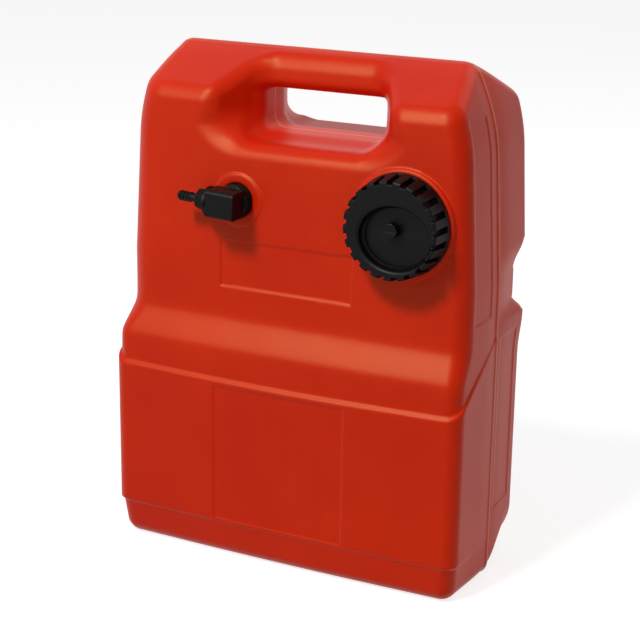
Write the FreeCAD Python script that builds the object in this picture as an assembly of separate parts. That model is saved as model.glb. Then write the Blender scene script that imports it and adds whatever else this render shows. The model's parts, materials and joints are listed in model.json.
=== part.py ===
import FreeCAD
import Part
import math
import os

V = FreeCAD.Vector
X_AXIS = V(1, 0, 0)
Y_AXIS = V(0, 1, 0)
Z_AXIS = V(0, 0, 1)
OUTWARD = V(0, -1, 0)

# Sizes in millimetres. X runs across the tank, the front faces -Y, the parting line of the
# two mould halves lies in the plane Y = 0, and the tank rests on Z = 0.

# Tank body
half_width = 175.0
tank_height = 470.0
wall = 3.0
front_depth = 82.5
upper_depth = 69.0
back_depth = 73.5
front_bow = 4.0
bow_share = 0.6
bottom_radius = 14.0
back_bottom_radius = 22.0
corner_radius = 16.0
skirt_height = 36.0
skirt_inset = 2.0
skirt_flare = 0.12
side_taper_start = 280.0
side_taper = 0.056
top_corner_height = 80.0
top_corner_width = 20.0
upper_inset = 12.0
back_draft = 3.5
shoulder_low = 198.0
shoulder_high = 238.0
ledge_step = 2.5
ledge_height = 176.0
ledge_slope = 0.65
eave_drop = 34.0
ridge_half = 5.0
eave_softness = 5.0
eave_fill = 1.5
eave_fill_reach = 0.25
least_depth = 1.2
least_round_share = 0.6
skirt_edge = 0.1
skirt_rise = 2.4
groove_low = 240.0
groove_high = 300.0
groove_depth = 7.5
groove_flank = 12.0

# Handle bar, the finger hole under it and the scoops before and behind it
handle_shift = 11.0
hole_half_width = 60.0
bar_drop = 36.0
hole_height = 38.0
hole_corner = 12.0
bar_half_depth = 20.0
scoop_half_width = 86.0
scoop_corner = 14.0
lip_radius = 18.0
cut_margin = 40.0

# Shallow panels of the front
panel_depth = 1.0
panel_half_width = 66.0
panel_low = 38.0
panel_high = 169.0
plate_half_width = 65.5
plate_low = 261.0
plate_high = 304.0

# Filler neck
neck_side = 63.5
neck_drop = 131.0
neck_bore = 27.0
neck_radius = 30.5
neck_length = 12.0
neck_pad_radius = 48.0
neck_pad_height = 2.5
neck_flange_radius = 36.0
neck_flange = 2.0
neck_inner_pad = 1.0
thread_height = 2.0
thread_pitch = 5.0
thread_width = 2.2
neck_thread_turns = 1.5
cap_thread_turns = 1.0
thread_start = 2.6
thread_sink = 0.3
thread_taper = 0.35
thread_clearance = 0.35

# Filler cap
cap_teeth = 21
cap_radius = 45.3
cap_height = 25.0
cap_gap = 1.2
cap_draft = 2.5
tooth_start = 3.5
tooth_depth = 3.3
tooth_gap = 5.2
tooth_chamfer = 1.3
dish_radius = 31.0
dish_shift_x = 2.5
dish_shift_z = -3.0
dish_round = 2.0
shell_floor = 1.7
insert_wall = 3.0
insert_disc = 2.0
piece_gap = 0.15
gasket_thickness = 1.8
gasket_overlap = 0.6
gasket_gap = 0.1
plug_radius = 24.0
plug_wall = 2.0
plug_length = 12.0
baffle_thickness = 1.5
baffle_hole_radius = 2.5
baffle_hole_circle = 14.0
baffle_holes = 6

# Vent screw in the middle of the cap
knob_radius = 7.2
knob_height = 6.0
knob_flutes = 12
knob_flute_radius = 0.9
knob_slot_width = 1.6
knob_slot_depth = 1.2
knob_recess_radius = 4.9
knob_recess_depth = 1.6
knob_lift_gap = 0.3
stem_radius = 2.5
stem_grip = 4.0
vent_travel = 1.9
vent_seal_cord = 1.6
bush_radius = 4.5
bush_flange_radius = 6.0
bush_flange = 1.5
bush_length = 10.5
running_gap = 0.08
clip_thickness = 0.8
clip_radius = 4.0
clip_margin = 0.3
clip_groove = 0.5

# Fuel outlet on its boss
outlet_side = 127.5
outlet_drop = 128.0
boss_radius = 24.0
boss_height = 1.5
boss_inner_radius = 19.0
boss_inner_depth = 9.0
insert_radius = 12.0
insert_flange_radius = 15.0
insert_flange = 2.0
insert_tail = 3.0
stub_radius = 8.0
stub_bore = 2.8
stub_flange_radius = 13.6
stub_flange = 3.0
stub_gasket_thickness = 1.5
stub_gasket_radius = 14.0
post_radius = 6.0
post_length = 15.0
post_seal_cord = 1.5
post_seal_place = 5.0
post_clip_place = 10.5
post_clip_radius = 7.0
spout_radius = 6.0
spout_length = 12.0

# Drop elbow inside the tank
drop_radius = 8.6
drop_socket = 10.0
drop_back = 9.0
drop_spigot_radius = 5.0
drop_spigot_length = 20.0

# Elbow, collar and hose barb
elbow_half = 12.2
elbow_corner = 3.5
elbow_foot_radius = 15.0
elbow_foot = 4.5
elbow_base_gap = 0.4
elbow_axis_height = 12.6
elbow_reach = 16.5
elbow_back_reach = 12.0
elbow_tilt = 3.0
elbow_bore = 3.0
collar_radius = 12.9
collar_width = 2.6
hex_sides = 6
hex_across = 16.4
hex_width = 9.5
screw_radius = 5.0
screw_length = 8.0
barb_root_radius = 3.9
barb_crest_radius = 4.7
barb_count = 4
barb_pitch = 3.2
barb_plain = 7.2
barb_bore = 2.2
barb_seal_cord = 1.2
barb_seal_groove = 1.3

# Pickup tube and strainer
tube_wall = 1.5
clamp_thickness = 1.0
clamp_width = 7.0
foot_clearance = 5.0
strainer_radius = 10.0
strainer_wall = 1.5
strainer_height = 30.0
strainer_top = 3.0
strainer_grip = 9.0
strainer_slots = 6
strainer_slot_width = 4.5
strainer_slot_height = 13.0
mesh_thickness = 0.6
foot_radius = 11.0
foot_height = 5.0
foot_plug = 3.0
foot_slots = 6
foot_slot_width = 3.0
foot_slot_depth = 2.5
fit_gap = 0.05

# Heights of the sections, as shares of the stretch that they divide
base_stations = (0.0, 0.08, 0.3, 0.62, 1.0)
shoulder_stations = (0.0, 0.2, 0.4, 0.6, 0.8, 1.0)
roof_stations = (-0.5, -0.25, 0.0, 0.2, 0.45, 0.7, 0.88, 1.0)

# Places that follow the top and the sides of the tank
eave_height = tank_height - eave_drop
hole_roof = tank_height - bar_drop
hole_floor = hole_roof - hole_height
neck_x = half_width - neck_side
neck_z = tank_height - neck_drop
outlet_x = outlet_side - half_width
outlet_z = tank_height - outlet_drop


def cylinder(radius, length, base, direction):
    return Part.makeCylinder(radius, length, base, direction)


def ring(outer, inner, length, base, direction):
    margin = 1.0
    bore = cylinder(inner, length + 2 * margin, base - direction * margin, direction)
    return cylinder(outer, length, base, direction).cut(bore)


def box_between(low, high):
    return Part.makeBox(high.x - low.x, high.y - low.y, high.z - low.z, low)


def turned(points, centre, direction, across):
    # Closed half section (distance along, radius) turned about the line through centre
    corners = [centre + direction * along + across * radius for along, radius in points]
    face = Part.Face(Part.makePolygon(corners + [corners[0]]))
    return face.revolve(centre, direction, 360)


def round_array(tool, count, centre, direction):
    copies = []
    for step in range(count):
        copy = tool.copy()
        copy.rotate(centre, direction, 360.0 * step / count)
        copies.append(copy)
    return copies


def single_solid(shape):
    cleaned = shape.removeSplitter()
    return cleaned.Solids[0] if len(cleaned.Solids) == 1 else cleaned


def bored(body, tools):
    # The cutting tools are joined and cleaned first, which keeps the cut faces whole
    return single_solid(body.cut(tools[0].fuse(tools[1:]).removeSplitter()))


def soft_minimum(first, second, softness):
    return -softness * math.log(math.exp(-first / softness) + math.exp(-second / softness))


def ease(share):
    held = min(max(share, 0.0), 1.0)
    return held * held * (3 - 2 * held)


def bottom_inset(z, radius):
    rise = min(max(z, 0.0), radius)
    return radius - math.sqrt(radius * radius - (radius - rise) ** 2)


def skirt_shrink(z):
    if z >= skirt_height:
        return 0.0
    return skirt_inset + skirt_flare * (skirt_height - z)


def parting_half_width(z):
    taper = side_taper * max(0.0, z - side_taper_start)
    share = max(0.0, (z - tank_height + top_corner_height) / top_corner_height)
    return half_width - taper - top_corner_width * share * share - bottom_inset(z, bottom_radius)


def roof_depth(full_depth, z):
    fall = (tank_height - z) / (tank_height - eave_height)
    line = ridge_half + fall * (full_depth - ridge_half)
    fill = eave_fill * math.exp(-abs(fall - 1) / eave_fill_reach)
    return soft_minimum(full_depth, line, eave_softness) + fill


def groove_share(z):
    rising = ease((z - groove_low) / groove_flank)
    falling = ease((groove_high - z) / groove_flank)
    return min(rising, falling)


def shoulder_share(z):
    return ease((z - shoulder_low) / (shoulder_high - shoulder_low))


def main_section(z):
    # Half widths and depths of the body above the ledge, at one height
    share = shoulder_share(z)
    lower = front_depth - ledge_step
    depth = roof_depth(lower + (upper_depth - lower) * share, z) - bottom_inset(z, bottom_radius)
    inset = (ledge_step + (upper_inset - ledge_step) * share) * depth / upper_depth
    groove = groove_depth * groove_share(z)
    back = roof_depth(back_depth, z) - groove - bottom_inset(z, back_bottom_radius)
    middle = parting_half_width(z)
    return {
        "middle": middle,
        "front": middle - min(inset, upper_inset) - skirt_shrink(z),
        "front_depth": depth - skirt_shrink(z),
        "back": middle - back_draft * (1 - share) - groove,
        "back_depth": back,
    }


def lower_section(z):
    # The fuller lower box of the front half, below the ledge
    middle = parting_half_width(z)
    return {
        "middle": middle,
        "front": middle - skirt_shrink(z),
        "front_depth": front_depth - bottom_inset(z, bottom_radius) - skirt_shrink(z),
        "back": middle - wall,
        "back_depth": wall,
    }


def rounded_outline(corners, z):
    # Corners are (x, y, radius). A radius of nothing keeps the corner sharp
    count = len(corners)
    stops = []
    for index, (x, y, radius) in enumerate(corners):
        point = V(x, y, z)
        before = V(corners[index - 1][0], corners[index - 1][1], z)
        after = V(corners[(index + 1) % count][0], corners[(index + 1) % count][1], z)
        if radius == 0:
            stops.append((point, None, point))
            continue
        back = (before - point).normalize()
        ahead = (after - point).normalize()
        half_angle = back.getAngle(ahead) / 2
        reach = radius / math.tan(half_angle)
        bisector = (back + ahead).normalize()
        centre = point + bisector * (radius / math.sin(half_angle))
        stops.append((point + back * reach, centre - bisector * radius, point + ahead * reach))
    edges = []
    for index, (start, crown, end) in enumerate(stops):
        if crown is not None:
            edges.append(Part.Arc(start, crown, end).toShape())
        edges.append(Part.LineSegment(end, stops[(index + 1) % count][0]).toShape())
    return Part.Wire(edges)


def section_wire(section, inset, z):
    middle = section["middle"] - inset
    front = section["front"] - inset
    back = section["back"] - inset
    front_y = max(section["front_depth"] - inset, least_depth)
    back_y = max(section["back_depth"] - inset, least_depth)
    front_round = min(corner_radius - inset, least_round_share * front_y)
    back_round = min(corner_radius - inset, least_round_share * back_y)
    bow = front_bow * front_y / front_depth
    bow_turn = math.atan2(bow, front)
    bow_round = bow_share * front / math.tan(bow_turn)
    corners = [
        (middle, 0, 0),
        (back, back_y, back_round),
        (-back, back_y, back_round),
        (-middle, 0, 0),
        (-front, -front_y, front_round),
        (0, -front_y - bow, bow_round),
        (front, -front_y, front_round),
    ]
    return rounded_outline(corners, z)


def station_heights():
    # The sections lie closest where the outline bends
    corner_start = tank_height - top_corner_height
    shoulder_rise = shoulder_high - shoulder_low
    heights = [share * back_bottom_radius for share in base_stations]
    heights += [skirt_height - skirt_edge, skirt_height + skirt_rise, (skirt_height + shoulder_low) / 2]
    heights += [shoulder_low + share * shoulder_rise for share in shoulder_stations]
    heights += [groove_low, groove_low + groove_flank / 2, groove_low + groove_flank]
    heights += [groove_high - groove_flank, groove_high - groove_flank / 2, groove_high]
    heights += [(groove_high + corner_start) / 2, corner_start]
    heights += [eave_height + share * eave_drop for share in roof_stations]
    return sorted(set(round(height, 3) for height in heights))


def lofted_body(section_at, inset, top):
    # The inner skin is squeezed in height by one wall at the base and one at the ridge
    squeeze = (tank_height - 2 * inset) / tank_height
    wires = []
    for z in station_heights():
        if z > top:
            break
        wires.append(section_wire(section_at(z), inset, inset + z * squeeze))
    return Part.makeLoft(wires, True, True)


def ledge_cutter(inset):
    # Everything above the tilted plane of the ledge
    reach = 2 * half_width
    low = ledge_height - inset
    front = V(-reach, -front_depth - reach, low - ledge_slope * reach)
    back = V(-reach, reach, low + ledge_slope * (front_depth + reach))
    lift = V(0, 0, 2 * tank_height)
    face = Part.Face(Part.makePolygon([front, back, back + lift, front + lift, front]))
    return face.extrude(X_AXIS * (2 * reach))


def handle_space(grow):
    # The finger hole, and the scoops that open the front and the back of the bar
    low = hole_floor - grow
    reach = 2 * back_depth
    top = tank_height + cut_margin
    bottom = low - cut_margin
    half = hole_half_width + grow
    hole = rounded_outline(
        [(-half, low, hole_corner), (half, low, hole_corner),
         (half, hole_roof + grow, hole_corner), (-half, hole_roof + grow, hole_corner)], 0)
    hole.rotate(V(0, 0, 0), X_AXIS, 90)
    tunnel = Part.Face(hole).extrude(Y_AXIS * (2 * reach))
    tunnel.translate(OUTWARD * reach)
    start = bar_half_depth - grow
    flare = scoop_half_width + grow
    front_plan = rounded_outline(
        [(half, -start, scoop_corner), (-half, -start, scoop_corner),
         (-flare, -upper_depth, 0), (-flare, -reach, 0), (flare, -reach, 0), (flare, -upper_depth, 0)],
        bottom)
    front = Part.Face(front_plan).extrude(Z_AXIS * (top - bottom))
    lip_start = upper_depth - lip_radius + grow
    eighth = math.pi / 4
    lip_middle = V(0, -lip_start - lip_radius * math.sin(eighth),
                   low - lip_radius * (1 - math.cos(eighth)))
    corners = [
        V(0, -lip_start - lip_radius, low - lip_radius),
        V(0, -reach, low - lip_radius),
        V(0, -reach, top),
        V(0, 0, top),
        V(0, 0, low),
        V(0, -lip_start, low),
    ]
    lip = [Part.LineSegment(start_point, end_point).toShape()
           for start_point, end_point in zip(corners, corners[1:])]
    lip.append(Part.Arc(corners[-1], lip_middle, corners[0]).toShape())
    side = Part.Face(Part.Wire(lip)).extrude(X_AXIS * (4 * flare))
    side.translate(X_AXIS * (-2 * flare))
    front = front.common(side)
    back_plan = rounded_outline(
        [(-half, start, scoop_corner), (half, start, scoop_corner),
         (flare, back_depth, 0), (flare, reach, 0), (-flare, reach, 0), (-flare, back_depth, 0)],
        low)
    back = Part.Face(back_plan).extrude(Z_AXIS * (top - low))
    space = tunnel.fuse([front, back])
    space.translate(X_AXIS * handle_shift)
    return space


def tank_skin(inset):
    body = lofted_body(main_section, inset, tank_height)
    lower = lofted_body(lower_section, inset, shoulder_high).cut(ledge_cutter(inset))
    return body.fuse(lower)


def lower_face():
    # Y of the bowed lower front at its middle
    turn = math.atan2(front_bow, half_width)
    radius = bow_share * half_width / math.tan(turn)
    return -front_depth - front_bow + radius * (1 / math.cos(turn) - 1)


def shallow_panel(half, low, high, face_y):
    return box_between(V(-half, face_y - panel_depth, low), V(half, face_y + panel_depth, high))


def front_surface(x):
    # Y of the bowed upper front at one distance from the middle
    front = main_section(shoulder_high)["front"]
    bow = front_bow * upper_depth / front_depth
    turn = math.atan2(bow, front)
    reach = bow_share * front
    if abs(x) >= reach:
        return -upper_depth - bow * (1 - abs(x) / front)
    radius = reach / math.tan(turn)
    crown = -upper_depth - bow + radius * (1 / math.cos(turn) - 1)
    return crown + radius - math.sqrt(radius * radius - x * x)


def neck_centre(y):
    return V(neck_x, y, neck_z)


def outlet_centre(y):
    return V(outlet_x, y, outlet_z)


# Places along Y, from the front face of the tank outwards
neck_face = front_surface(neck_x)
neck_pad = neck_face - neck_pad_height
neck_rim = neck_pad - neck_length
neck_seat = neck_face + wall + neck_inner_pad
cap_base = neck_pad - cap_gap
cap_front = cap_base - cap_height
gasket_back = neck_rim - gasket_gap
disc_back = gasket_back - gasket_thickness - gasket_gap
disc_front = disc_back - insert_disc
floor_back = disc_front - piece_gap
dish_floor = floor_back - shell_floor
thread_root = neck_radius + thread_height + thread_clearance
insert_radius_outer = thread_root + insert_wall
plug_end = disc_back + plug_length
bush_front = dish_floor - bush_flange
bush_end = bush_front + bush_length
knob_back = bush_front - knob_lift_gap
knob_front = knob_back - knob_height
outlet_face = front_surface(outlet_x)
boss_face = outlet_face - boss_height
stub_back = boss_face - stub_gasket_thickness
stub_front = stub_back - stub_flange
post_end = stub_front - post_length
elbow_base = stub_front - elbow_base_gap
elbow_axis = elbow_base - elbow_axis_height
boss_back = outlet_face + boss_inner_depth
insert_end = boss_back + insert_tail
spout_end = insert_end + spout_length
drop_start = spout_end - drop_socket
drop_axis = spout_end + drop_back
elbow_end = outlet_x - elbow_reach
hex_start = elbow_end - collar_width
barb_start = hex_start - hex_width
tube_bore = drop_spigot_radius + fit_gap
tube_radius = tube_bore + tube_wall
tube_top = outlet_z - drop_radius - fit_gap
foot_base = wall + foot_clearance
strainer_crown = foot_base + foot_height + strainer_height
tube_base = strainer_crown - strainer_grip


def helical_thread(radius, turns, centre, inward):
    # A right-hand thread about the neck's axis that starts at the centre and rises outwards
    height = thread_pitch * turns
    helix = Part.makeHelix(thread_pitch, height, radius)
    half = thread_width / 2
    sign = -1 if inward else 1
    root = radius - sign * thread_sink
    crest = radius + sign * (thread_height - thread_clearance)
    tip = half - thread_taper * thread_height
    points = [V(root, 0, -half), V(crest, 0, -tip), V(crest, 0, tip), V(root, 0, half)]
    profile = Part.makePolygon(points + [points[0]])
    thread = Part.Wire(helix.Edges).makePipeShell([profile], True, True)
    thread.rotate(V(0, 0, 0), X_AXIS, 90)
    thread.translate(centre)
    return thread


def make_tank_shell():
    outer = tank_skin(0).cut(handle_space(0))
    inner = tank_skin(wall).cut(handle_space(wall))
    outer = outer.fuse([
        cylinder(neck_pad_radius, neck_pad_height + wall, neck_centre(neck_face + wall), OUTWARD),
        cylinder(boss_radius, boss_height + wall, outlet_centre(outlet_face + wall), OUTWARD),
    ])
    inner = inner.cut([
        cylinder(boss_inner_radius, boss_inner_depth + wall, outlet_centre(boss_back), OUTWARD),
        cylinder(neck_flange_radius + wall, 2 * wall, neck_centre(neck_seat), OUTWARD),
    ])
    shell = outer.cut(inner)
    seat = insert_flange + fit_gap
    shell = shell.cut([
        cylinder(neck_radius + fit_gap, 6 * wall, neck_centre(neck_seat + wall), OUTWARD),
        cylinder(insert_radius + fit_gap, 3 * boss_inner_depth, outlet_centre(boss_back + wall), OUTWARD),
        cylinder(insert_flange_radius + fit_gap, 2 * seat, outlet_centre(boss_face + seat), OUTWARD),
        shallow_panel(panel_half_width, panel_low, panel_high, lower_face()),
        shallow_panel(plate_half_width, plate_low, plate_high, front_surface(0)),
    ])
    return single_solid(shell)


def make_filler_neck():
    # Threaded neck with a flange welded behind the front wall
    back = neck_centre(neck_seat + neck_flange)
    tube = ring(neck_radius, neck_bore, back.y - neck_rim, back, OUTWARD)
    flange = ring(neck_flange_radius, neck_bore, neck_flange, back, OUTWARD)
    thread = helical_thread(neck_radius, neck_thread_turns, neck_centre(neck_pad - thread_start), False)
    return single_solid(tube.fuse([flange, thread]))


def make_cap_shell():
    # Knurled cover: skirt with teeth on a plain rim, front ring and the floor of its dish
    length = cap_height
    front_radius = cap_radius - cap_draft
    inside = insert_radius_outer + piece_gap
    floor = cap_base - floor_back
    skirt = turned([
        (0, inside), (0, cap_radius), (length - tooth_chamfer, front_radius),
        (length, front_radius - tooth_chamfer), (length, 0), (floor, 0), (floor, inside),
    ], neck_centre(cap_base), OUTWARD, X_AXIS)
    gap = box_between(V(-tooth_gap / 2, 0, front_radius - tooth_depth),
                      V(tooth_gap / 2, 1.5 * length - tooth_start, 2 * cap_radius))
    gap.translate(neck_centre(cap_base - 1.5 * length))
    skirt = skirt.cut(round_array(gap, cap_teeth, neck_centre(0), OUTWARD))
    dish_centre = neck_centre(dish_floor) + V(dish_shift_x, 0, dish_shift_z)
    depth = dish_floor - cap_front
    mouth = dish_radius + dish_round
    dish = turned([
        (0, 0), (0, dish_radius - 2 * dish_round), (dish_round, dish_radius),
        (depth - dish_round, dish_radius), (depth, mouth), (2 * depth, mouth), (2 * depth, 0),
    ], dish_centre, OUTWARD, X_AXIS)
    bore = cylinder(bush_radius + fit_gap, 4 * shell_floor, neck_centre(floor_back + shell_floor), OUTWARD)
    return single_solid(skirt.cut([dish, bore]))


def make_cap_insert():
    # Threaded inner body with the plug that dips into the neck
    tube = ring(insert_radius_outer, thread_root, cap_base - disc_front, neck_centre(cap_base), OUTWARD)
    disc = cylinder(insert_radius_outer, insert_disc, neck_centre(disc_back), OUTWARD)
    plug = ring(plug_radius, plug_radius - plug_wall, plug_length, neck_centre(plug_end), OUTWARD)
    body = tube.fuse([disc, plug])
    hole = cylinder(bush_radius + fit_gap, 4 * insert_disc, neck_centre(disc_back + insert_disc), OUTWARD)
    body = body.cut(hole)
    start = neck_centre(neck_pad - thread_start - thread_pitch / 2)
    return single_solid(body.fuse(helical_thread(thread_root, cap_thread_turns, start, True)))


def make_cap_gasket():
    inner = neck_bore + gasket_overlap
    return ring(neck_radius, inner, gasket_thickness, neck_centre(gasket_back), OUTWARD)


def make_cap_baffle():
    # Splash disc that closes the end of the plug
    disc = cylinder(plug_radius, baffle_thickness, neck_centre(plug_end + baffle_thickness), OUTWARD)
    inner = plug_radius - plug_wall - fit_gap
    spigot = ring(inner, inner - baffle_thickness, 2 * baffle_thickness, neck_centre(plug_end), OUTWARD)
    hole = cylinder(baffle_hole_radius, 3 * baffle_thickness,
                    neck_centre(plug_end + 2 * baffle_thickness), OUTWARD)
    hole.translate(X_AXIS * baffle_hole_circle)
    return single_solid(disc.fuse(spigot).cut(round_array(hole, baffle_holes, neck_centre(0), OUTWARD)))


def make_vent_bush():
    flange = cylinder(bush_flange_radius, bush_flange, neck_centre(dish_floor), OUTWARD)
    body = cylinder(bush_radius, bush_length - bush_flange, neck_centre(bush_end), OUTWARD)
    bore = cylinder(stem_radius + running_gap, 2 * bush_length, neck_centre(bush_end + 1), OUTWARD)
    return single_solid(flange.fuse(body).cut(bore))


def make_vent_knob():
    # Fluted thumb screw with a coin slot and a recess for its seal
    rim = knob_flute_radius
    knob = turned([
        (0, 0), (0, knob_radius), (knob_height - rim, knob_radius),
        (knob_height, knob_radius - rim), (knob_height, 0),
    ], neck_centre(knob_back), OUTWARD, X_AXIS)
    flute = cylinder(knob_flute_radius, 2 * knob_height, neck_centre(knob_back + 1), OUTWARD)
    flute.translate(X_AXIS * (knob_radius + knob_flute_radius / 2))
    recess = cylinder(knob_recess_radius, knob_recess_depth + 1, neck_centre(knob_back + 1), OUTWARD)
    socket = cylinder(stem_radius, stem_grip + 1, neck_centre(knob_back + 1), OUTWARD)
    slot = box_between(V(-2 * knob_radius, -knob_slot_depth, -knob_slot_width / 2),
                       V(2 * knob_radius, knob_slot_depth, knob_slot_width / 2))
    slot.translate(neck_centre(knob_front))
    flutes = round_array(flute, knob_flutes, neck_centre(0), OUTWARD)
    return single_solid(knob.cut(flutes + [recess, socket, slot]))


def clip_back():
    return bush_end + vent_travel + clip_margin


def make_vent_stem():
    end = clip_back() + 3 * clip_thickness
    stem = cylinder(stem_radius, end - knob_back + stem_grip, neck_centre(end), OUTWARD)
    groove = ring(2 * stem_radius, stem_radius - clip_groove, clip_thickness,
                  neck_centre(clip_back() + clip_thickness), OUTWARD)
    return single_solid(stem.cut(groove))


def make_vent_clip():
    return ring(clip_radius, stem_radius - clip_groove, clip_thickness,
                neck_centre(clip_back() + clip_thickness), OUTWARD)


def seal_ring(inner, cord, centre, direction):
    return Part.makeTorus(inner + cord / 2, cord / 2, centre, direction)


def make_vent_seal():
    return seal_ring(stem_radius + fit_gap, vent_seal_cord,
                     neck_centre(bush_front - fit_gap - vent_seal_cord / 2), OUTWARD)


def make_outlet_insert():
    # Threaded bush held in the boss
    length = insert_end - boss_face
    flange = cylinder(insert_flange_radius, insert_flange,
                      outlet_centre(boss_face + insert_flange), OUTWARD)
    body = cylinder(insert_radius, length, outlet_centre(insert_end), OUTWARD)
    bore = cylinder(stub_radius + fit_gap, 2 * length, outlet_centre(insert_end + 1), OUTWARD)
    return single_solid(flange.fuse(body).cut(bore))


def make_stub_gasket():
    return ring(stub_gasket_radius, stub_radius + fit_gap, stub_gasket_thickness,
                outlet_centre(boss_face), OUTWARD)


def post_seal_y():
    return stub_front - post_seal_place


def post_clip_y():
    return stub_front - post_clip_place


def make_outlet_stub():
    # Hollow post that screws into the boss, carries the elbow outside and the drop elbow inside
    shank = cylinder(stub_radius, insert_end - stub_back, outlet_centre(insert_end), OUTWARD)
    spout = cylinder(spout_radius, spout_length, outlet_centre(spout_end), OUTWARD)
    flange = cylinder(stub_flange_radius, stub_flange, outlet_centre(stub_back), OUTWARD)
    post = cylinder(post_radius, post_length, outlet_centre(stub_front), OUTWARD)
    seal_groove = ring(2 * post_radius, post_radius - post_seal_cord - fit_gap,
                       post_seal_cord + 2 * fit_gap,
                       outlet_centre(post_seal_y() + post_seal_cord / 2 + fit_gap), OUTWARD)
    clip_groove_ring = ring(2 * post_radius, post_radius - clip_groove, clip_thickness,
                            outlet_centre(post_clip_y() + clip_thickness / 2), OUTWARD)
    duct = cylinder(stub_bore, 2 * (spout_end - post_end), outlet_centre(spout_end + 1), OUTWARD)
    return single_solid(shank.fuse([spout, flange, post]).cut([seal_groove, clip_groove_ring, duct]))


def make_swivel_seal():
    inner = post_radius - post_seal_cord
    return seal_ring(inner, post_seal_cord - fit_gap, outlet_centre(post_seal_y()), OUTWARD)


def make_swivel_clip():
    return ring(post_clip_radius, post_radius - clip_groove, clip_thickness,
                outlet_centre(post_clip_y() + clip_thickness / 2), OUTWARD)


def make_drop_elbow():
    # Turns the fuel path down to the pickup tube
    socket = cylinder(drop_radius, drop_axis + drop_radius - drop_start,
                      outlet_centre(drop_axis + drop_radius), OUTWARD)
    spigot_base = V(outlet_x, drop_axis, outlet_z)
    spigot = cylinder(drop_spigot_radius, drop_radius + drop_spigot_length, spigot_base, -Z_AXIS)
    body = socket.fuse(spigot)
    grip = cylinder(spout_radius + fit_gap, drop_socket + 1, outlet_centre(spout_end), OUTWARD)
    duct = cylinder(stub_bore, drop_axis - spout_end, spigot_base, OUTWARD)
    bend = Part.makeSphere(stub_bore, spigot_base)
    down = cylinder(stub_bore, drop_radius + drop_spigot_length + 1, spigot_base, -Z_AXIS)
    return bored(body, [grip, duct, bend, down])


def elbow_centre(x):
    return V(x, elbow_axis, outlet_z)


def make_elbow_body():
    # Square arm with rounded long edges and a flat end, on a round foot
    foot = cylinder(elbow_foot_radius, elbow_foot, outlet_centre(elbow_base), OUTWARD)
    arm = box_between(elbow_centre(elbow_end) - V(0, 1, 1) * elbow_half,
                      elbow_centre(outlet_x + elbow_back_reach) + V(0, 1, 1) * elbow_half)
    long_edges = [edge for edge in arm.Edges if abs(edge.tangentAt(0).dot(X_AXIS)) > 0.5]
    body = foot.fuse(arm.makeFillet(elbow_corner, long_edges))
    clip_room = ring(post_clip_radius + running_gap, post_radius - 1, clip_thickness + 2 * fit_gap,
                     outlet_centre(post_clip_y() + clip_thickness / 2 + fit_gap), OUTWARD)
    socket = cylinder(post_radius + running_gap, elbow_base - post_end + 2 * elbow_base_gap,
                      outlet_centre(elbow_base), OUTWARD)
    duct = cylinder(elbow_bore, elbow_reach + 1, elbow_centre(outlet_x), -X_AXIS)
    thread = cylinder(screw_radius + fit_gap, screw_length + 1,
                      elbow_centre(elbow_end + screw_length), -X_AXIS)
    seal_room = cylinder(screw_radius + barb_seal_cord + barb_seal_groove / 2, 2 * barb_seal_groove,
                         elbow_centre(elbow_end + barb_seal_groove), -X_AXIS)
    return bored(body, [clip_room, socket, duct, thread, seal_room])


def make_elbow_collar():
    return ring(collar_radius, screw_radius + fit_gap, collar_width, elbow_centre(elbow_end), -X_AXIS)


def make_barb_seal():
    place = elbow_end + barb_seal_groove - barb_seal_cord / 2
    return seal_ring(screw_radius + fit_gap, barb_seal_cord, elbow_centre(place), X_AXIS)


def make_hose_barb():
    # Hexagon with a screwed shank on one side and the hose barbs on the other
    turn = 2 * math.pi / hex_sides
    corner = hex_across / 2 / math.cos(turn / 2)
    points = []
    for step in range(hex_sides + 1):
        angle = (step + 0.5) * turn
        spoke = Y_AXIS * math.cos(angle) + Z_AXIS * math.sin(angle)
        points.append(elbow_centre(hex_start) + spoke * corner)
    hexagon = Part.Face(Part.makePolygon(points)).extrude(-X_AXIS * hex_width)
    cone = turned([(-1, 0), (-1, corner + 1), (0.0, hex_across / 2), (0, 0)],
                  elbow_centre(barb_start), X_AXIS, Z_AXIS)
    screw_end = elbow_end + screw_length - fit_gap
    shank = cylinder(screw_radius, screw_end - hex_start, elbow_centre(screw_end), -X_AXIS)
    half = [(0, 0), (0, barb_root_radius), (barb_plain, barb_root_radius)]
    for step in range(barb_count):
        start = barb_plain + step * barb_pitch
        half += [(start, barb_crest_radius), (start + barb_pitch, barb_root_radius)]
    half += [(barb_plain + barb_count * barb_pitch, 0)]
    spigot = turned(half, elbow_centre(barb_start), -X_AXIS, Z_AXIS)
    length = screw_length + collar_width + hex_width + barb_plain + barb_count * barb_pitch
    bore = cylinder(barb_bore, 2 * length, elbow_centre(elbow_end + screw_length + 1), -X_AXIS)
    return single_solid(hexagon.cut(cone).fuse([shank, spigot]).cut(bore))


def drop_centre(z):
    return V(outlet_x, drop_axis, z)


def make_pickup_tube():
    return ring(tube_radius, tube_bore, tube_top - tube_base, drop_centre(tube_base), Z_AXIS)


def make_tube_clamp():
    low = tube_top - drop_spigot_length / 2 - clamp_width / 2
    inner = tube_radius + fit_gap
    band = ring(inner + clamp_thickness, inner, clamp_width, drop_centre(low), Z_AXIS)
    ear = box_between(V(-2 * clamp_thickness, inner + clamp_thickness / 2, 0),
                      V(2 * clamp_thickness, inner + 4 * clamp_thickness, clamp_width))
    ear.translate(drop_centre(low))
    return single_solid(band.fuse(ear))


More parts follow.
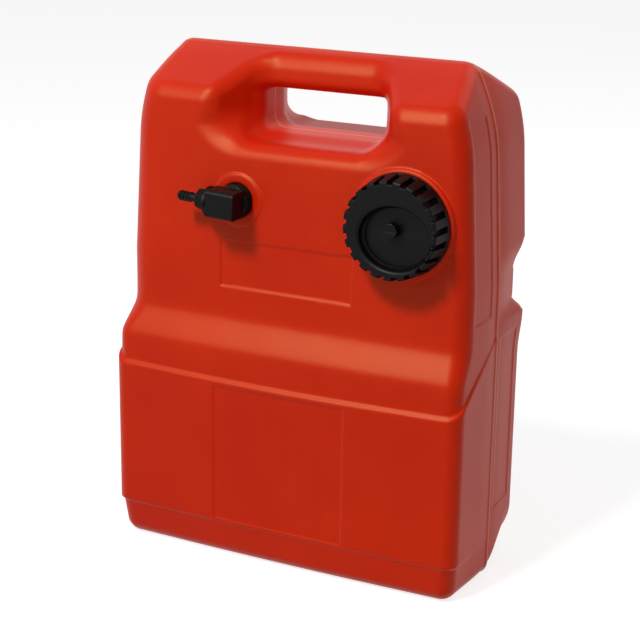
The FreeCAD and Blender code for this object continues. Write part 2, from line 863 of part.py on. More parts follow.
def make_strainer_body():
    # Cage with windows, and a collar that grips the end of the tube
    low = foot_base + foot_height
    cage = ring(strainer_radius, strainer_radius - strainer_wall, strainer_height - strainer_grip,
                drop_centre(low), Z_AXIS)
    collar = ring(strainer_radius, tube_radius + fit_gap, strainer_grip, drop_centre(tube_base), Z_AXIS)
    shoulder = ring(strainer_radius, tube_bore, strainer_top,
                    drop_centre(tube_base - strainer_top), Z_AXIS)
    middle = low + (strainer_height - strainer_grip - strainer_top) / 2
    half = strainer_slot_width / 2
    rise = strainer_slot_height / 2
    window = box_between(V(0, -half, middle - rise), V(2 * strainer_radius, half, middle + rise))
    window.translate(drop_centre(0))
    windows = round_array(window, strainer_slots, drop_centre(0), Z_AXIS)
    return single_solid(cage.fuse([collar, shoulder]).cut(windows))


def make_strainer_mesh():
    outer = strainer_radius - strainer_wall - fit_gap
    low = foot_base + foot_height + fit_gap
    high = tube_base - strainer_top - fit_gap
    return ring(outer, outer - mesh_thickness, high - low, drop_centre(low), Z_AXIS)


def make_strainer_foot():
    # Slotted foot that closes the cage and keeps it off the floor of the tank
    foot = cylinder(foot_radius, foot_height, drop_centre(foot_base), Z_AXIS)
    outer = strainer_radius - strainer_wall - 2 * fit_gap - mesh_thickness
    plug = cylinder(outer, foot_plug, drop_centre(foot_base + foot_height), Z_AXIS)
    half = foot_slot_width / 2
    slot = box_between(V(0, -half, foot_base - 1), V(2 * foot_radius, half, foot_base + foot_slot_depth))
    slot.translate(drop_centre(0) + X_AXIS * (foot_radius / 2))
    slots = round_array(slot, foot_slots, drop_centre(0), Z_AXIS)
    return single_solid(foot.fuse(plug).cut(slots))


def tilted(shape):
    # The elbow swivels on its post, and rests turned a little up from level
    shape.rotate(outlet_centre(elbow_base), Y_AXIS, elbow_tilt)
    return shape


parts = {
    "tank_shell": make_tank_shell(),
    "filler_neck": make_filler_neck(),
    "cap_shell": make_cap_shell(),
    "cap_insert": make_cap_insert(),
    "cap_gasket": make_cap_gasket(),
    "cap_baffle": make_cap_baffle(),
    "vent_bush": make_vent_bush(),
    "vent_knob": make_vent_knob(),
    "vent_stem": make_vent_stem(),
    "vent_clip": make_vent_clip(),
    "vent_seal": make_vent_seal(),
    "outlet_insert": make_outlet_insert(),
    "stub_gasket": make_stub_gasket(),
    "outlet_stub": make_outlet_stub(),
    "swivel_seal": make_swivel_seal(),
    "swivel_clip": make_swivel_clip(),
    "drop_elbow": make_drop_elbow(),
    "elbow_body": tilted(make_elbow_body()),
    "elbow_collar": tilted(make_elbow_collar()),
    "barb_seal": tilted(make_barb_seal()),
    "hose_barb": tilted(make_hose_barb()),
    "pickup_tube": make_pickup_tube(),
    "tube_clamp": make_tube_clamp(),
    "strainer_body": make_strainer_body(),
    "strainer_mesh": make_strainer_mesh(),
    "strainer_foot": make_strainer_foot(),
}

os.makedirs("parts", exist_ok=True)
for name, shape in parts.items():
    shape.exportStep("parts/" + name + ".step")
    print(name, "solids", len(shape.Solids), "valid", shape.isValid(), "volume", round(shape.Volume))
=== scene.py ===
import json
import math

import bpy
import numpy as np
from mathutils import Matrix, Vector


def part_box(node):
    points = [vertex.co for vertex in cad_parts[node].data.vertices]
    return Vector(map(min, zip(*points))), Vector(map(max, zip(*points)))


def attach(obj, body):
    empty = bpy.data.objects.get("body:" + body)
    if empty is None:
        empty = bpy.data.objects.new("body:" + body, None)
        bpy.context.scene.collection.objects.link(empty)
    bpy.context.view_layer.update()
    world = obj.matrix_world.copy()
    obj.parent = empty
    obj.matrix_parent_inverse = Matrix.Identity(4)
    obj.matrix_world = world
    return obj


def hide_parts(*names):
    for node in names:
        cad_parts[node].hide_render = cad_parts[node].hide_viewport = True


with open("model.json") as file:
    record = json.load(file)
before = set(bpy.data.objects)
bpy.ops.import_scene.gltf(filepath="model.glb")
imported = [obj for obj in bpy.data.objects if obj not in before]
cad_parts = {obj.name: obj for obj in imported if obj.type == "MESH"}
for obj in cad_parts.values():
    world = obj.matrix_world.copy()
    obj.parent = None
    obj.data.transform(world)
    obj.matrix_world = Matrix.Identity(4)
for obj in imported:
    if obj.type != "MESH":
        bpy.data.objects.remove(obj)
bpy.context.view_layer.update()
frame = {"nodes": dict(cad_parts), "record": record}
nodes = frame["nodes"]
print("frame loaded:", len(nodes), "nodes")


# soft shapes, in millimetres: a field is negative inside its solid

def roundMax(a, b, radius):
    # overlap of two solids with a rounded outer edge
    u = np.maximum(a + radius, 0)
    v = np.maximum(b + radius, 0)
    return np.minimum(np.maximum(a, b), -radius) + np.sqrt(u * u + v * v)


def roundMin(a, b, radius):
    # union of two solids with a rounded inner corner
    return -roundMax(-a, -b, radius)


def ease(share):
    held = np.clip(share, 0, 1)
    return held * held * (3 - 2 * held)


def ramp(value, width):
    return ease(value / width + 0.5)


def incline(share, soft):
    # rises evenly from 0 to 1, with bent ends; the second value is its slope
    low, high = np.sqrt(share ** 2 + soft), np.sqrt((share - 1) ** 2 + soft)
    return (low - high + 1) / 2, (share / low - (share - 1) / high) / 2


drawing = {"passes": 3, "probe": 0.02, "leastSlope": 0.2, "longestMove": 0.4}


def skin(name, field, low, high, step):
    # one vertex in each cell that the surface crosses, then drawn onto the surface itself
    axes = [np.arange(a - step, b + 2 * step, step) for a, b in zip(low, high)]
    value = field(axes[0][:, None, None], axes[1][None, :, None], axes[2][None, None, :]).astype(np.float32)
    inside = value < 0
    corners = [(i, j, k) for i in (0, 1) for j in (0, 1) for k in (0, 1)]
    size = [n - 1 for n in value.shape]
    count = np.zeros(size, np.int8)
    for i, j, k in corners:
        count += inside[i:i + size[0], j:j + size[1], k:k + size[2]]
    cells = np.argwhere((count > 0) & (count < 8))
    number = np.full(size, -1, np.int64)
    number[tuple(cells.T)] = np.arange(len(cells))
    held = np.array([value[cells[:, 0] + i, cells[:, 1] + j, cells[:, 2] + k] for i, j, k in corners])
    total = np.zeros((len(cells), 3))
    hits = np.zeros(len(cells))
    for a, first in enumerate(corners):
        for b in range(a + 1, 8):
            second = corners[b]
            if sum(abs(p - q) for p, q in zip(first, second)) != 1:
                continue
            crossed = (held[a] < 0) != (held[b] < 0)
            share = np.where(crossed, held[a] / np.where(crossed, held[a] - held[b], 1), 0)
            place = np.array(first) + share[:, None] * (np.array(second) - np.array(first))
            total += np.where(crossed[:, None], place, 0)
            hits += crossed
    start = np.array([axis[0] for axis in axes])
    points = start + step * (cells + total / hits[:, None])
    probe = drawing["probe"]
    reach = drawing["longestMove"] * step
    for _ in range(drawing["passes"]):
        here = field(*points.T)
        slope = np.array([field(*(points + shift).T) - here for shift in np.eye(3) * probe]).T / probe
        move = here[:, None] * slope / np.maximum((slope ** 2).sum(1), drawing["leastSlope"])[:, None]
        points -= np.clip(move, -reach, reach)
    faces = []
    for axis in range(3):
        p, q = [(1, 2), (2, 0), (0, 1)][axis]
        ahead = np.moveaxis(inside, axis, 0)
        change = np.argwhere(np.moveaxis(ahead[1:] != ahead[:-1], 0, axis))
        change = change[(change[:, p] > 0) & (change[:, q] > 0)]
        change = change[(change[:, p] < size[p]) & (change[:, q] < size[q])]
        ring = []
        for dp, dq in ((-1, -1), (0, -1), (0, 0), (-1, 0)):
            cell = change.copy()
            cell[:, p] += dp
            cell[:, q] += dq
            ring.append(number[tuple(cell.T)])
        ring = np.array(ring).T
        outward = inside[tuple(change.T)]
        faces.append(np.where(outward[:, None], ring, ring[:, ::-1]))
    mesh = bpy.data.meshes.new(name)
    mesh.from_pydata(points * 0.001, [], np.concatenate(faces).tolist())
    mesh.shade_smooth()
    piece = bpy.data.objects.new(name, mesh)
    bpy.context.scene.collection.objects.link(piece)
    print(name, "has", len(points), "points")
    return piece


# tank skin, where a pair of values is for the left and the right, or the front and the back

tank = {
    "halfWidth": 175.0, "height": 470.0, "frontDepth": 82.5, "upperDepth": 69.0, "backDepth": 73.5,
    "bow": 4.0, "bowBend": 0.6, "cornerRadius": 13.0,
    "upperCorner": (20.0, 16.0), "upperCornerStart": 200.0, "upperCornerBlend": 40.0,
    "bottomRadius": 13.0, "backBottomRadius": 48.0, "bottomBlend": 60.0,
    "taperStart": 280.0, "taper": 0.056, "topCornerHeight": 80.0, "topCornerWidth": 20.0,
    "upperInset": (12.0, 1.5), "backDraft": 3.5,
    "shoulderLow": 205.0, "shoulderHigh": 231.0, "shoulderBend": 0.03,
    "ledgeStep": 2.5, "ledgeHeight": 176.0, "ledgeSlope": 0.65, "ledgeRound": 1.8,
    "ledgeBack": 3.0, "ledgeFoot": 1.5,
    "skirtHeight": 36.0, "skirtInset": 2.0, "skirtFlare": 0.12, "skirtStep": 3.0,
    "eaveDrop": 34.0, "eaveRound": 9.5, "roofHalf": 5.0, "roofRound": 4.0, "peakRound": 2.0,
    "grooveLow": 238.0, "grooveHigh": 307.0, "grooveDepth": 9.8, "grooveLean": 0.8, "grooveEdge": 0.01,
    "grooveFlank": (16.0, 28.0),  # the low flank and the high one
    "seamHeight": 1.1, "seamWidth": 1.8, "seamReach": 14.0, "seamClear": 2.0,
    "step": 1.5,
}
handle = {
    "shift": 11.0, "halfWidth": 60.0, "floor": 396.0, "roof": 434.0, "corner": 12.0, "topCorner": 4.0,
    "barHalf": 20.0, "flare": 86.0, "scoopCorner": 14.0, "floorCorner": (24.0, 13.0), "barRound": 11.0,
    "edgeRound": 10.0, "lipRound": 18.0, "lipTop": 420.0, "lipFade": 16.0, "lipFront": 30.0, "lipReach": 20.0,
}
fittings = {
    "neck": (111.5, 339.0), "padRadius": 48.0, "padFace": -72.56, "padFoot": 0.8,
    "neckHole": 30.6, "neckHoleEnd": -52.0,
    "outlet": (-47.5, 342.0), "bossRadius": 24.0, "bossFace": -72.61, "bossFoot": 0.6, "insertHole": 15.1,
    "inside": -60.0, "rimRound": 0.8,
}
panels = {
    "depth": 1.3, "sideDepth": 0.7, "edge": 1.4, "frontFrom": -40.0, "sideFrom": 120.0,
    "lower": (66.0, 38.0, 169.0), "upper": (65.5, 261.0, 304.0),  # half width, bottom, top
    "sideFront": (-52.0, -16.0, 252.0, 428.0),  # front, back, bottom, top
    "sideBack": (12.0, 50.0, 62.0, 226.0),
}


def bowShare(side, half):
    # a parabola up to the bend, then straight down to the corner
    bend = tank["bowBend"]
    near = 1 - bend / 2 - side ** 2 / (2 * bend * half ** 2)
    return np.where(side < bend * half, near, 1 - side / half)


def handleField(x, y, z):
    # finger hole under the bar, with a flared scoop before and behind it
    s = handle
    side = np.abs(x - s["shift"])
    floor = s["floor"] - z
    scoops = 1e3
    for ahead, depth, low in zip((-y, y), (tank["upperDepth"], tank["backDepth"]), s["floorCorner"]):
        lean = (s["flare"] - s["halfWidth"]) / (depth - s["barHalf"])
        wall = (side - s["halfWidth"] - lean * np.maximum(ahead - s["barHalf"], 0)) / math.hypot(1, lean)
        scoop = roundMax(roundMax(wall, s["barHalf"] - ahead, s["scoopCorner"]), floor, low)
        scoops = np.minimum(scoops, scoop)
    tunnel = roundMax(side - s["halfWidth"], floor, s["corner"])
    tunnel = roundMax(tunnel, z - s["roof"], s["topCorner"])
    return roundMin(scoops, tunnel, s["barRound"])


def tankField(x, y, z):
    s = tank
    side = np.abs(x)
    share = np.maximum(0, (z - s["height"] + s["topCornerHeight"]) / s["topCornerHeight"])
    middle = s["halfWidth"] - s["taper"] * np.maximum(0, z - s["taperStart"])
    middle = middle - s["topCornerWidth"] * share ** 2
    lean = s["taper"] * (z > s["taperStart"]) + 2 * s["topCornerWidth"] * share / s["topCornerHeight"]
    rise = (z - s["shoulderLow"]) / (s["shoulderHigh"] - s["shoulderLow"])
    shoulder, climb = incline(rise, s["shoulderBend"])
    stepped = 1 - ramp(z - s["skirtHeight"], s["skirtStep"])
    skirt = s["skirtInset"] * stepped + s["skirtFlare"] * np.maximum(0, s["skirtHeight"] - z)
    low, high = s["grooveFlank"]
    sunk = np.minimum(ease((z - s["grooveLow"]) / low), ease((s["grooveHigh"] - z) / high))
    groove = s["grooveDepth"] * sunk
    flank = (groove > s["grooveEdge"]) & (groove < s["grooveDepth"] - s["grooveEdge"])
    grooveLean = np.where(flank, s["grooveLean"], 0)
    bottom = s["bottomRadius"] + (s["backBottomRadius"] - s["bottomRadius"]) * ease(y / s["bottomBlend"])

    def half(depth, inset, depthLean):
        # side wall and front face of one box
        k = (inset + skirt) / depth
        wall = (side - middle - k * y) / np.sqrt(1 + k ** 2 + lean ** 2)
        wide = middle - inset - skirt
        bow = s["bow"] * depth / s["frontDepth"] * bowShare(side, wide)
        face = (-y - depth + skirt - bow) / np.sqrt(1 + depthLean ** 2)
        return wall, face

    low = s["frontDepth"] - s["ledgeStep"]
    depth = low + (s["upperDepth"] - low) * shoulder
    depthLean = (low - s["upperDepth"]) * climb / (s["shoulderHigh"] - s["shoulderLow"])
    inset = s["ledgeStep"] + (np.where(x < 0, *s["upperInset"]) - s["ledgeStep"]) * shoulder
    wall, face = half(depth, inset, depthLean)
    backDrop = s["backDraft"] * (1 - shoulder) + groove
    kb = backDrop / s["backDepth"]
    backWall = (side - middle + kb * y) / np.sqrt(1 + kb ** 2 + lean ** 2)
    back = (y - s["backDepth"] + groove) / np.sqrt(1 + grooveLean ** 2)
    corner = np.where(x < 0, *s["upperCorner"]) - s["cornerRadius"]
    blend = s["upperCornerBlend"]
    corner = corner * ease((z - s["upperCornerStart"]) / blend) * ease(-y / blend)
    walls = roundMax(np.maximum(wall, backWall), np.maximum(face, back), s["cornerRadius"] + corner)
    roofs = []
    for sign, wallDepth in ((-1, s["upperDepth"]), (1, s["backDepth"])):
        run = wallDepth - s["roofHalf"]
        fall = (sign * y - s["roofHalf"]) * s["eaveDrop"] + (z - s["height"]) * run
        roofs.append(fall / math.hypot(run, s["eaveDrop"]))
    roof = roundMax(roundMax(*roofs, s["roofRound"]), z - s["height"], s["peakRound"])
    main = roundMax(roundMax(walls, roof, s["eaveRound"]), -z, bottom)

    wall, face = half(s["frontDepth"], 0.0, 0.0)
    ledge = (z - s["ledgeHeight"] - s["ledgeSlope"] * (y + s["frontDepth"])) / math.hypot(1, s["ledgeSlope"])
    lower = roundMax(roundMax(wall, face, s["cornerRadius"]), -z, bottom)
    lower = np.maximum(roundMax(lower, ledge, s["ledgeRound"]), y - s["ledgeBack"])
    body = roundMin(main, lower, s["ledgeFoot"])

    h = handle
    frontLip = ease((h["lipTop"] - z) / h["lipFade"]) * ease((-y - h["lipFront"]) / h["lipReach"])
    lip = h["edgeRound"] + (h["lipRound"] - h["edgeRound"]) * frontLip
    grip = handleField(x, y, z)
    body = roundMax(body, -grip, lip)

    p = panels
    for half_, bottomEdge, topEdge in (p["lower"], p["upper"]):
        mask = ramp(half_ - side, p["edge"]) * ramp(z - bottomEdge, p["edge"]) * ramp(topEdge - z, p["edge"])
        body = body + p["depth"] * mask * (y < p["frontFrom"])
    for nearEdge, farEdge, bottomEdge, topEdge in (p["sideFront"], p["sideBack"]):
        mask = ramp(y - nearEdge, p["edge"]) * ramp(farEdge - y, p["edge"])
        mask = mask * ramp(z - bottomEdge, p["edge"]) * ramp(topEdge - z, p["edge"])
        body = body + p["sideDepth"] * mask * (side > p["sideFrom"])

    f = fittings
    neck = np.hypot(x - f["neck"][0], z - f["neck"][1])
    pad = roundMax(neck - f["padRadius"], np.maximum(f["padFace"] - y, y - f["inside"]), f["rimRound"])
    outlet = np.hypot(x - f["outlet"][0], z - f["outlet"][1])
    boss = roundMax(outlet - f["bossRadius"], np.maximum(f["bossFace"] - y, y - f["inside"]), f["rimRound"])
    body = roundMin(roundMin(body, pad, f["padFoot"]), boss, f["bossFoot"])
    body = np.maximum(body, -np.maximum(neck - f["neckHole"], y - f["neckHoleEnd"]))
    body = np.maximum(body, -np.maximum(outlet - f["insertHole"], y - f["inside"]))
    seam = s["seamHeight"] * (1 - np.exp(-(y / s["seamWidth"]) ** 2)) * np.exp(-(y / s["seamReach"]) ** 2)
    return body + seam * ease((grip - s["seamClear"]) / s["seamReach"])


# filler cap and its vent knob

cap = {
    "centre": (111.5, 339.0), "base": -73.76, "front": -98.76, "radius": 45.3, "draft": 2.5, "teeth": 21,
    "toothStart": 3.5, "toothDepth": 3.3, "toothGap": 5.2, "chamfer": 1.3, "inside": 36.2,
    "dishReach": (32.5, 27.3), "dishShift": (4.6, -6.2), "dishFloor": -90.41, "dishWall": 1.7,
    "floorRound": 3.4, "dishRound": 3.2, "toothRound": 0.8, "rootRound": 0.7, "rimRound": 0.5,
    "flangeRound": 0.4, "bevelRound": 0.5, "frontRound": 0.4, "bush": 4.7, "step": 0.55,
}


def capField(x, y, z):
    s = cap
    dx, dz = x - s["centre"][0], z - s["centre"][1]
    r = np.hypot(dx, dz)
    out = s["base"] - y  # distance from the base towards the front
    length = s["base"] - s["front"]
    pitch = 2 * math.pi / s["teeth"]
    turned = (np.arctan2(dx, dz) + pitch / 2) % pitch - pitch / 2
    across = np.abs(turned) * r
    outer = r - s["radius"] + s["draft"] * out / length
    core = r - (s["radius"] - s["draft"] - s["toothDepth"])
    toothed = roundMax(outer, s["toothGap"] / 2 - across, s["toothRound"])
    flange = roundMax(outer, out - s["toothStart"], s["rimRound"])
    body = roundMin(roundMin(core, toothed, s["rootRound"]), flange, s["flangeRound"])
    bevel = (outer + out - length + s["chamfer"]) / math.sqrt(2)
    body = roundMax(roundMax(body, bevel, s["bevelRound"]), out - length, s["frontRound"])
    body = np.maximum(body, -out)
    hollow = np.maximum(r - s["inside"], s["dishFloor"] + s["dishWall"] - y)
    body = np.maximum(body, -hollow)
    wide, high = s["dishReach"]
    dish = (np.hypot((dx - s["dishShift"][0]) / wide, (dz - s["dishShift"][1]) / high) - 1) * high
    dish = roundMax(dish, y - s["dishFloor"], s["floorRound"])
    body = roundMax(body, -dish, s["dishRound"])
    return np.maximum(body, s["bush"] - r)


knob = {
    "radius": 7.2, "height": 6.0, "back": -92.21, "flutes": 12, "fluteRadius": 0.9, "slotHalf": 0.8,
    "slotDepth": 1.2, "socketRadius": 4.9, "socketDepth": 1.6, "edgeRound": 0.9, "fluteRound": 0.3,
    "slotRound": 0.35, "step": 0.25,
}


def knobField(x, y, z):
    s = knob
    dx, dz = x - cap["centre"][0], z - cap["centre"][1]
    r = np.hypot(dx, dz)
    out = s["back"] - y
    pitch = 2 * math.pi / s["flutes"]
    turned = (np.arctan2(dx, dz) + pitch / 2) % pitch - pitch / 2
    fluteCentre = s["radius"] + s["fluteRadius"] / 2
    flute = np.hypot(r * np.cos(turned) - fluteCentre, r * np.sin(turned)) - s["fluteRadius"]
    body = roundMax(r - s["radius"], np.maximum(-out, out - s["height"]), s["edgeRound"])
    body = roundMax(body, -flute, s["fluteRound"])
    slot = np.maximum(np.abs(dz) - s["slotHalf"], s["height"] - s["slotDepth"] - out)
    body = roundMax(body, -slot, s["slotRound"])
    return np.maximum(body, -np.maximum(r - s["socketRadius"], out - s["socketDepth"]))


# outlet elbow and its hose barb

elbow = {
    "centre": (-47.5, 342.0), "base": -77.51, "axis": -90.105, "half": 12.2, "corner": 3.5, "reach": 16.5,
    "backReach": 12.0, "footRadius": 15.0, "foot": 4.5, "socket": 6.1, "tilt": math.radians(3),
    "footRound": 0.8, "endRound": 0.7, "joinRound": 0.8, "step": 0.4,
}


def elbowFrame(x, z):
    # distances from the swivel, along the arm and across it
    dx, dz = x - elbow["centre"][0], z - elbow["centre"][1]
    turn = elbow["tilt"]
    return dx * math.cos(turn) - dz * math.sin(turn), dx * math.sin(turn) + dz * math.cos(turn)


def elbowField(x, y, z):
    s = elbow
    dx, dz = elbowFrame(x, z)
    r = np.hypot(dx, dz)
    foot = np.maximum(y - s["base"], s["base"] - s["foot"] - y)
    foot = roundMax(r - s["footRadius"], foot, s["footRound"])
    arm = roundMax(np.abs(y - s["axis"]) - s["half"], np.abs(dz) - s["half"], s["corner"])
    arm = roundMax(arm, np.maximum(-dx - s["reach"], dx - s["backReach"]), s["endRound"])
    body = roundMin(foot, arm, s["joinRound"])
    return np.maximum(body, -np.maximum(r - s["socket"], s["axis"] - y))


barb = {
    "reach": 19.1, "hexWidth": 9.5, "hexAcross": 16.4, "rootRadius": 3.9, "crestRadius": 4.7, "barbs": 4,
    "pitch": 3.2, "plain": 7.2, "bore": 2.2, "bevel": 0.4, "bevelSlope": 1.2, "hexRound": 0.4,
    "edgeRound": 0.3, "coneShare": 0.97, "sunk": 1.0, "step": 0.3,
}


def barbField(x, y, z):
    s = barb
    dx, dz = elbowFrame(x, z)
    dy = y - elbow["axis"]
    r = np.hypot(dy, dz)
    out = -dx - s["reach"] - s["hexWidth"]  # distance beyond the hexagon
    turned = (np.arctan2(dz, dy) + math.pi / 6) % (math.pi / 3) - math.pi / 6
    flat = r * np.cos(turned) - s["hexAcross"] / 2
    edge = (r - s["hexAcross"] / 2 - s["bevel"] + out * s["bevelSlope"]) / math.hypot(1, s["bevelSlope"])
    hexagon = roundMax(flat, np.maximum(-out - s["hexWidth"], out), s["hexRound"])
    hexagon = roundMax(hexagon, edge, s["edgeRound"])
    end = s["plain"] + s["barbs"] * s["pitch"]
    along = (out - s["plain"]) % s["pitch"] / s["pitch"]
    fall = (s["crestRadius"] - s["rootRadius"]) * along
    crest = np.where(out > s["plain"], s["crestRadius"] - fall, s["rootRadius"])
    spigot = (r - crest) * s["coneShare"]
    spigot = roundMax(spigot, np.maximum(out - end, -out - s["sunk"]), s["edgeRound"])
    body = np.minimum(hexagon, spigot)
    return np.maximum(body, s["bore"] - r)


# materials

class Signal:
    # wraps one socket, so that shader maths is written as plain expressions
    def __init__(self, tree, socket=None):
        self.tree = tree
        self.socket = socket

    def node(self, kind, settings=None, inputs=None, output=0):
        made = self.tree.nodes.new(kind)
        for key, value in (settings or {}).items():
            setattr(made, key, value)
        for key, value in (inputs or {}).items():
            if isinstance(value, Signal):
                self.tree.links.new(value.socket, made.inputs[key])
            else:
                made.inputs[key].default_value = value
        return Signal(self.tree, made.outputs[output] if len(made.outputs) else None)

    def math(self, operation, *others):
        return self.node("ShaderNodeMath", {"operation": operation}, dict(enumerate((self, *others))))

    def flipped(self, operation, other):
        return self.node("ShaderNodeMath", {"operation": operation}, {0: other, 1: self})

    def __add__(self, other):
        return self.math("ADD", other)

    def __radd__(self, other):
        return self.flipped("ADD", other)

    def __mul__(self, other):
        return self.math("MULTIPLY", other)

    def __rmul__(self, other):
        return self.flipped("MULTIPLY", other)

    def __abs__(self):
        return self.math("ABSOLUTE")

    def mix(self, first, second):
        # this signal is the share of the second colour
        return self.node("ShaderNodeMix", {"data_type": "RGBA"}, {0: self, 6: first, 7: second}, 2)

    def remap(self, low, high, outLow, outHigh):
        return self.node("ShaderNodeMapRange", None, {0: self, 1: low, 2: high, 3: outLow, 4: outHigh})


def newMaterial(name):
    # the material, its tree and the place on the object in metres
    material = bpy.data.materials.new(name)
    material.use_nodes = True
    material.node_tree.nodes.clear()
    start = Signal(material.node_tree)
    place = start.node("ShaderNodeTexCoord", None, None, 3)
    return material, start, place


def noise(place, scale, detail=2.0, roughness=0.5, distortion=0.0):
    return place.node("ShaderNodeTexNoise", None, {
        "Vector": place, "Scale": scale, "Detail": detail, "Roughness": roughness, "Distortion": distortion})


def bump(height, distance, strength=1.0, normal=None):
    inputs = {"Strength": strength, "Distance": distance, "Height": height}
    if normal is not None:
        inputs["Normal"] = normal
    return height.node("ShaderNodeBump", None, inputs)


def surface(start, color, roughness, normal, metallic=0.0, specular=0.5, **extra):
    inputs = {"Base Color": color, "Roughness": roughness, "Normal": normal, "Metallic": metallic,
              "Specular IOR Level": specular}
    inputs.update({key.replace("_", " "): value for key, value in extra.items()})
    shader = start.node("ShaderNodeBsdfPrincipled", None, inputs)
    start.node("ShaderNodeOutputMaterial", None, {"Surface": shader})


tankFinish = {
    "deep": (0.69, 0.012, 0.0004, 1), "light": (0.75, 0.019, 0.0006, 1), "pale": (0.86, 0.26, 0.13, 1),
    "seamInner": 0.0007, "seamOuter": 0.0019, "seamHighlightShare": 0.7, "speckleShare": 0.03, "scuffShare": 0.04,
    "roughness": 0.34, "specular": 0.27, "tint": (1.0, 0.75, 0.35, 1),
}


def tankPlastic():
    s = tankFinish
    material, start, place = newMaterial("tankPlastic")
    y = place.node("ShaderNodeSeparateXYZ", None, {0: place}, 1)
    cloud = noise(place, 9.0, 3.0)
    speckle = noise(place, 900.0, 2.0, 0.7)
    scuff = noise(place, 60.0, 6.0, 0.75).remap(0.62, 0.72, 0.0, 1.0)
    # painted highlight: a pale band along the parting-line seam, where its ridge catches the light
    seam = abs(y).remap(s["seamInner"], s["seamOuter"], 1.0, 0.0)
    color = cloud.remap(0.35, 0.65, 0.0, 1.0).mix(s["deep"], s["light"])
    color = (speckle.remap(0.6, 0.75, 0.0, 1.0) * s["speckleShare"]).mix(color, s["pale"])
    color = (scuff * s["scuffShare"]).mix(color, s["pale"])
    color = (seam * s["seamHighlightShare"]).mix(color, s["pale"])
    grain = noise(place, 1400.0, 2.0, 0.6)
    peel = noise(place, 220.0, 2.0, 0.5)
    wave = noise(place, 26.0, 1.0, 0.4)
    roughness = s["roughness"] + 0.08 * cloud + 0.10 * scuff + 0.05 * speckle
    normal = bump(wave, 0.0016, 0.25)
    normal = bump(peel, 0.00016, 0.5, normal)
    normal = bump(grain, 0.00005, 0.6, normal)
    surface(start, color, roughness, normal, specular=s["specular"], Specular_Tint=s["tint"])
    return material


def darkPlastic():
    material, start, place = newMaterial("darkPlastic")
    cloud = noise(place, 60.0, 3.0)
    dust = noise(place, 380.0, 5.0, 0.7).remap(0.55, 0.75, 0.0, 1.0)
    color = (dust * 0.35 + cloud * 0.2).mix((0.001, 0.001, 0.001, 1), (0.012, 0.0115, 0.011, 1))
    grain = noise(place, 2600.0, 2.0, 0.6)
    roughness = 0.32 + 0.14 * cloud + 0.16 * dust
    normal = bump(grain, 0.00005, 0.5, bump(noise(place, 500.0, 2.0), 0.0001, 0.5))
    surface(start, color, roughness, normal, specular=0.1)
    return material


def sealRubber():
    material, start, place = newMaterial("sealRubber")
    cloud = noise(place, 300.0, 3.0)
    color = cloud.mix((0.003, 0.003, 0.003, 1), (0.016, 0.0155, 0.015, 1))
    surface(start, color, 0.62 + 0.2 * cloud, bump(noise(place, 2200.0, 2.0), 0.00005, 0.5), specular=0.15)
    return material


def turnedMetal(name, dark, light, base):
    material, start, place = newMaterial(name)
    cloud = noise(place, 240.0, 3.0)
    lines = place.node("ShaderNodeTexWave", {"bands_direction": "Y"}, {
        "Vector": place, "Scale": 700.0, "Distortion": 1.2, "Detail": 2.0})
    color = cloud.mix(dark, light)
    surface(start, color, base + 0.18 * cloud, bump(lines, 0.00002, 0.5), metallic=1.0)
    return material


def naturalPlastic():
    material, start, place = newMaterial("naturalPlastic")
    cloud = noise(place, 80.0, 3.0)
    color = cloud.mix((0.55, 0.54, 0.47, 1), (0.72, 0.71, 0.66, 1))
    surface(start, color, 0.42 + 0.15 * cloud, bump(noise(place, 900.0, 2.0), 0.00005, 0.5))
    return material


finishes = {
    "tank_plastic": tankPlastic(),
    "black_plastic": darkPlastic(),
    "seal_rubber": sealRubber(),
    "brass": turnedMetal("turnedBrass", (0.45, 0.30, 0.11, 1), (0.72, 0.52, 0.24, 1), 0.26),
    "steel": turnedMetal("springSteel", (0.36, 0.36, 0.37, 1), (0.62, 0.62, 0.63, 1), 0.28),
    "tube_plastic": naturalPlastic(),
}


def dress(piece, slotName):
    piece.data.materials.clear()
    piece.data.materials.append(finishes[slotName])


slotOf = {part["node"]: part["material_slot"] for part in frame["record"]["subparts"]}
for nodeName, node in nodes.items():
    dress(node, slotOf[nodeName])
    node.data.shade_smooth()
print("materials made")


def build(name, field, low, high, step, nodeName, body):
    piece = skin(name, field, low, high, step * (1))
    dress(piece, slotOf[nodeName])
    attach(piece, body)
    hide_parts(nodeName)
    return piece


def around(box, margin=1.0):
    return [v * 1000 - margin for v in box[0]], [v * 1000 + margin for v in box[1]]


build("tankSkin", tankField, *around(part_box("tank_shell")), tank["step"], "tank_shell", "tank")
build("capCover", capField, *around(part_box("cap_shell")), cap["step"], "cap_shell", "cap")
build("ventKnob", knobField, *around(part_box("vent_knob")), knob["step"], "vent_knob", "vent_screw")
build("elbowHousing", elbowField, *around(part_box("elbow_body")), elbow["step"], "elbow_body", "outlet_elbow")
build("hoseBarb", barbField, *around(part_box("hose_barb")), barb["step"], "hose_barb", "outlet_elbow")


# camera, floor and lights

shot = {
    "place": (0.677, -1.3472, 0.6845), "azimuth": 26.688, "elevation": 17.161, "roll": 0.88, "lens": 95.625,
}


def makeCamera():
    turn, lift, roll = [math.radians(shot[key]) for key in ("azimuth", "elevation", "roll")]
    right = Vector((math.cos(turn), math.sin(turn), 0))
    ahead = Vector((-math.sin(turn) * math.cos(lift), math.cos(turn) * math.cos(lift), -math.sin(lift)))
    up = right.cross(ahead)
    sideAxis = math.cos(roll) * right + math.sin(roll) * up
    upAxis = math.cos(roll) * up - math.sin(roll) * right
    axes = Matrix((sideAxis, upAxis, -ahead)).transposed()
    data = bpy.data.cameras.new("camera")
    data.lens = shot["lens"]
    data.sensor_width = 36.0
    camera = bpy.data.objects.new("camera", data)
    camera.matrix_world = Matrix.Translation(shot["place"]) @ axes.to_4x4()
    bpy.context.scene.collection.objects.link(camera)
    bpy.context.scene.camera = camera


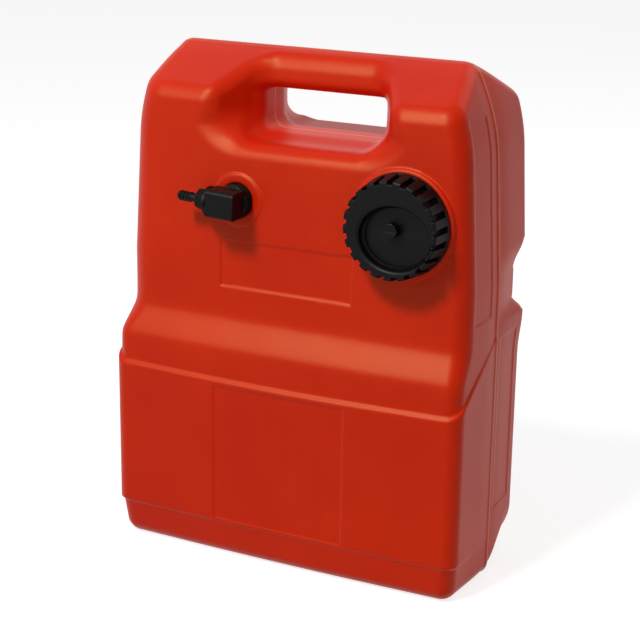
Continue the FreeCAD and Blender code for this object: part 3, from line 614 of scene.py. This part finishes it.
def seenRays(start):
    # 1 for what the camera, a reflection or glass sees
    path = start.node("ShaderNodeLightPath")
    rays = [Signal(start.tree, path.socket.node.outputs[name]) for name in
            ("Is Camera Ray", "Is Glossy Ray", "Is Transmission Ray")]
    return rays[0].math("MAXIMUM", rays[1]).math("MAXIMUM", rays[2])


room = {
    "reach": 6.0, "floorColor": (0.5, 0.5, 0.5, 1), "floorGlow": 0.8, "fill": 0.2, "backdrop": 1.0,
    "white": (1, 1, 1, 1),
}


def makeFloor():
    reach = room["reach"]
    mesh = bpy.data.meshes.new("floor")
    corners = [(-reach, -reach, 0), (reach, -reach, 0), (reach, reach, 0), (-reach, reach, 0)]
    mesh.from_pydata(corners, [], [(0, 1, 2, 3)])
    floor = bpy.data.objects.new("floor", mesh)
    bpy.context.scene.collection.objects.link(floor)
    material, start, _ = newMaterial("paleFloor")
    matte = start.node("ShaderNodeBsdfDiffuse", None, {"Color": room["floorColor"]})
    glow = start.node("ShaderNodeEmission", None, {"Color": room["white"], "Strength": room["floorGlow"]})
    both = start.node("ShaderNodeAddShader", None, {0: matte, 1: glow})
    mixed = start.node("ShaderNodeMixShader", None, {0: seenRays(start), 1: matte, 2: both})
    start.node("ShaderNodeOutputMaterial", None, {"Surface": mixed})
    mesh.materials.append(material)


def makeWorld():
    world = bpy.data.worlds.new("studio")
    bpy.context.scene.world = world
    world.use_nodes = True
    world.node_tree.nodes.clear()
    start = Signal(world.node_tree)
    fill = start.node("ShaderNodeBackground", None, {"Color": room["white"], "Strength": room["fill"]})
    seen = start.node("ShaderNodeBackground", None, {"Color": room["white"], "Strength": room["backdrop"]})
    both = start.node("ShaderNodeMixShader", None, {0: seenRays(start), 1: fill, 2: seen})
    start.node("ShaderNodeOutputWorld", None, {"Surface": both})


lampAim = Vector((0, 0, 0.25))
lamps = {
    # name: (place, width, watts), each aimed at the tank
    "key": ((-0.45, -1.95, 2.6), 0.5, 56.0),
    "back": ((0.9, 1.6, 2.2), 1.4, 8.0),
    "sheen": ((-0.65, -2.2, 1.4), 1.3, 60.0),
}


def makeLamps():
    for name, (place, width, watts) in lamps.items():
        data = bpy.data.lights.new(name, "AREA")
        data.size = width
        data.energy = watts
        lamp = bpy.data.objects.new(name, data)
        lamp.location = place
        lamp.visible_diffuse = name != "sheen"  # that one reaches reflections only
        lamp.rotation_mode = "QUATERNION"
        lamp.rotation_quaternion = (lampAim - Vector(place)).to_track_quat("-Z", "Y")
        bpy.context.scene.collection.objects.link(lamp)


makeCamera()
makeFloor()
makeWorld()
makeLamps()
bpy.context.scene.view_settings.view_transform = "Standard"
print("camera, floor and lights set")
